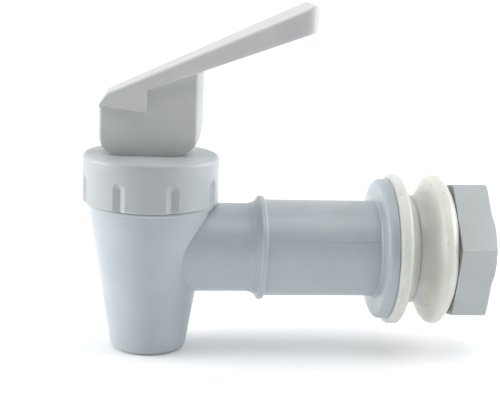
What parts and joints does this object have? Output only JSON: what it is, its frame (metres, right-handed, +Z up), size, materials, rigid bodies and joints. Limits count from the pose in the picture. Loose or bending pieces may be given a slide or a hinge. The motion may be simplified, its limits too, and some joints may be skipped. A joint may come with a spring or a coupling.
{
  "type": "water dispenser tap",
  "caption": "Push-lever spigot: tapered spout barrel, fluted screw bonnet, hinged lever lifting a spring-closed valve, threaded shank with two soft seals and a hexagon nut.",
  "frame": {"origin": "on the axis of the horizontal shank, in the plane where the two seals meet and clamp the tank wall", "axes": "+X along the shank into the tank, +Z up, spout and lever on the -X side"},
  "size_m": [0.0934, 0.0346, 0.0786],
  "materials": {
    "body_plastic": "satin bluish white",
    "handle_plastic": "satin white",
    "stem_plastic": "natural acetal",
    "nut_plastic": "satin white",
    "seal_rubber": "translucent milky silicone",
    "cup_rubber": "milky silicone",
    "pin_steel": "bright stainless"
  },
  "bodies": {
    "tap": {"tap_body": "body_plastic", "bonnet": "handle_plastic", "front_seal": "seal_rubber"},
    "valve": {"seat_cup": "cup_rubber", "return_spring": "pin_steel"},
    "stem": {"stem": "stem_plastic", "pivot_pin": "pin_steel"},
    "lever": {"lever_handle": "handle_plastic"},
    "backing": {"rear_seal": "seal_rubber"},
    "nut": {"hex_nut": "nut_plastic"}
  },
  "joints": [
    {"name": "stem_lift", "type": "slide", "parent": "tap", "child": "valve", "axis": [0, 0, 1], "range_m": [0, 0.0027], "deforming": ["return_spring", "seat_cup"]},
    {"name": "lever_swivel", "type": "hinge", "parent": "valve", "child": "stem", "pos_m": [-0.0598, 0, 0.02141], "axis": [0, 0, 1], "continuous": true},
    {"name": "lever_press", "type": "hinge", "parent": "stem", "child": "lever", "pos_m": [-0.0598, 0, 0.02806], "axis": [0.0209, 0.9998, 0], "range_deg": [0, 35], "stiffness_Nm_per_rad": 0.0169, "springref_deg": -65.09},
    {"name": "nut_travel", "type": "slide", "parent": "tap", "child": "backing", "axis": [1, 0, 0], "range_m": [0, 0.006]},
    {"name": "nut_spin", "type": "hinge", "parent": "backing", "child": "nut", "pos_m": [0.0121, 0, 0], "axis": [1, 0, 0], "range_deg": [0, 1080]}
  ],
  "couplings": [
    {"joint": "stem_lift", "follows": "lever_press", "m_per_rad": 0.0044},
    {"joint": "nut_travel", "follows": "nut_spin", "m_per_rad": 0.0003183}
  ]
}
